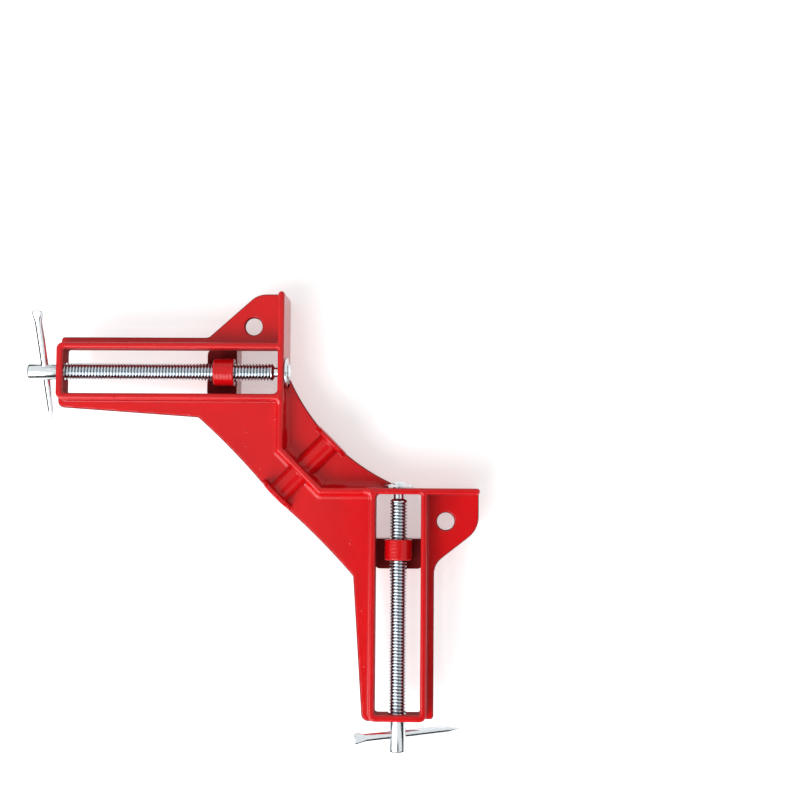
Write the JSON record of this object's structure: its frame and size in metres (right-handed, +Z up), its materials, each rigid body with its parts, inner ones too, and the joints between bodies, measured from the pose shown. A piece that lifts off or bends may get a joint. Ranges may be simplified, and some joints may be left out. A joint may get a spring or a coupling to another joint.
{
  "type": "corner clamp",
  "caption": "Right-angle corner clamp: cast frame with fences and bench screw flanges, and sliding jaws driven by screws with sliding handle bars.",
  "frame": {"origin": "centre of the bounding box in plan, at the height of the resting edges of the fences and jaws", "axes": "+Z up, towards the ribbed side with the screws; the left arm runs along -X and the front arm along -Y from the corner"},
  "size_m": [0.2032, 0.2032, 0.038],
  "materials": {
    "red_enamel": "die casting with a thick gloss red enamel",
    "zinc_plated_steel": "bright zinc plating"
  },
  "bodies": {
    "frame": {"clamp_body": "red_enamel"},
    "left_spindle": {"left_screw": "zinc_plated_steel", "left_washer": "zinc_plated_steel"},
    "left_bar": {"left_handle_bar": "zinc_plated_steel"},
    "left_slider": {"left_jaw": "red_enamel"},
    "front_spindle": {"front_screw": "zinc_plated_steel", "front_washer": "zinc_plated_steel"},
    "front_bar": {"front_handle_bar": "zinc_plated_steel"},
    "front_slider": {"front_jaw": "red_enamel"}
  },
  "joints": [
    {"name": "left_screw_turn", "type": "hinge", "parent": "frame", "child": "left_spindle", "pos_m": [-0.08635, 0.06565, 0.0219], "axis": [1, 0, 0], "range_deg": [-16965.4, 4949.3]},
    {"name": "left_bar_slide", "type": "slide", "parent": "left_spindle", "child": "left_bar", "axis": [0, 0.8526, 0.5225], "range_m": [-0.0192, 0.0136]},
    {"name": "left_jaw_slide", "type": "slide", "parent": "frame", "child": "left_slider", "axis": [1, 0, 0], "range_m": [-0.0665, 0.0194]},
    {"name": "front_screw_turn", "type": "hinge", "parent": "frame", "child": "front_spindle", "pos_m": [0.06565, -0.08635, 0.0219], "axis": [0, 1, 0], "range_deg": [-16965.4, 4949.3]},
    {"name": "front_bar_slide", "type": "slide", "parent": "front_spindle", "child": "front_bar", "axis": [-0.8241, 0, 0.5664], "range_m": [-0.0113, 0.0215]},
    {"name": "front_jaw_slide", "type": "slide", "parent": "frame", "child": "front_slider", "axis": [0, 1, 0], "range_m": [-0.0665, 0.0194]}
  ],
  "couplings": [
    {"joint": "left_screw_turn", "follows": "left_jaw_slide", "rad_per_m": 4452.7},
    {"joint": "front_screw_turn", "follows": "front_jaw_slide", "rad_per_m": 4452.7}
  ]
}
